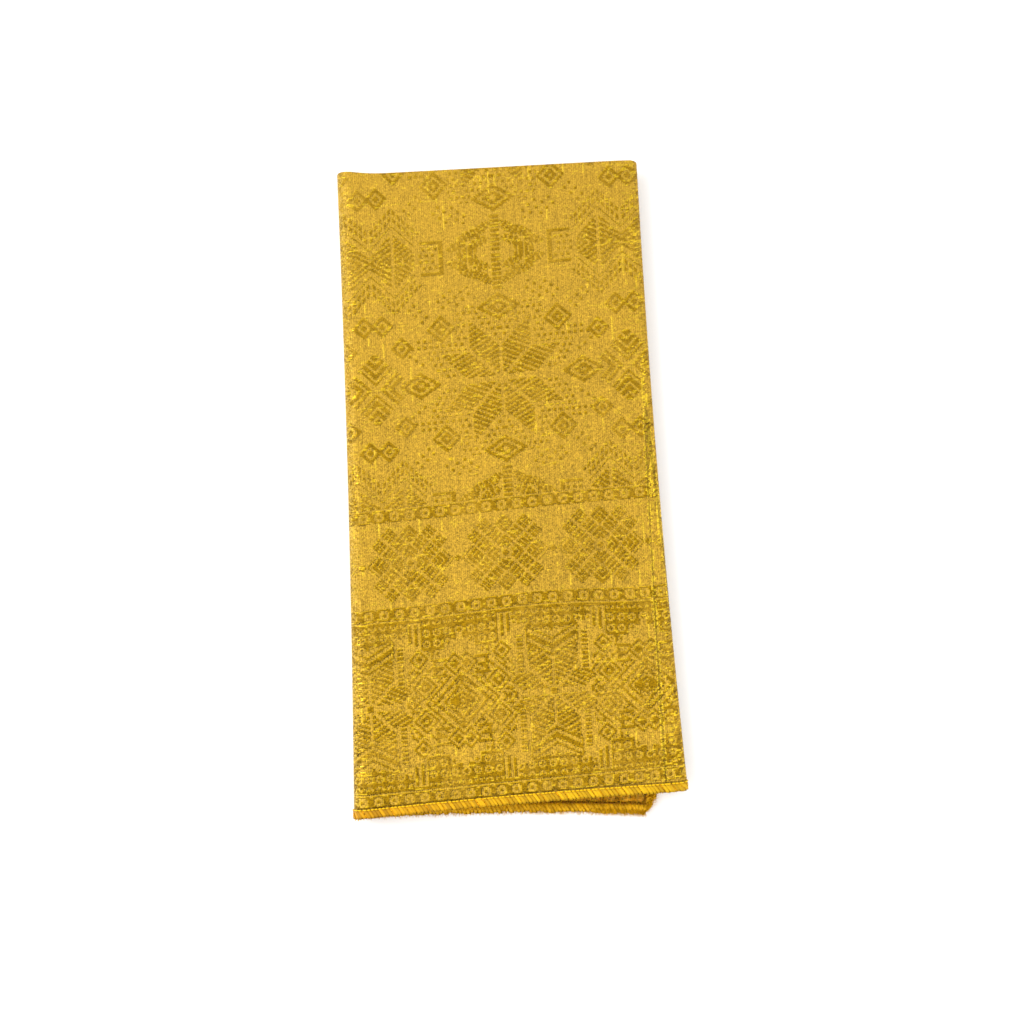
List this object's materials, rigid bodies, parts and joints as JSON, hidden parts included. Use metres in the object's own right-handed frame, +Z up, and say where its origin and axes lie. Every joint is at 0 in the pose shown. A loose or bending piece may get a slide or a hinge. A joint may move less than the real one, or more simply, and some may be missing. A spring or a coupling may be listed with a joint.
{
  "type": "folded woven cloth napkin",
  "caption": "Brocade dinner napkin with an overlocked hem, folded flat into a long rectangle with the free hems at one short end.",
  "frame": {"origin": "under the centre of the folded napkin's bounding box, on the surface that it lies on", "axes": "+X across the folded napkin, from the wrapped side fold towards the free side edges, +Y along it towards the top fold, +Z up"},
  "size_m": [0.119, 0.2336, 0.0104],
  "materials": {
    "brocade": "satin woven brocade with a faint metallic thread"
  },
  "bodies": {
    "root": {"napkin": "brocade"}
  },
  "joints": []
}
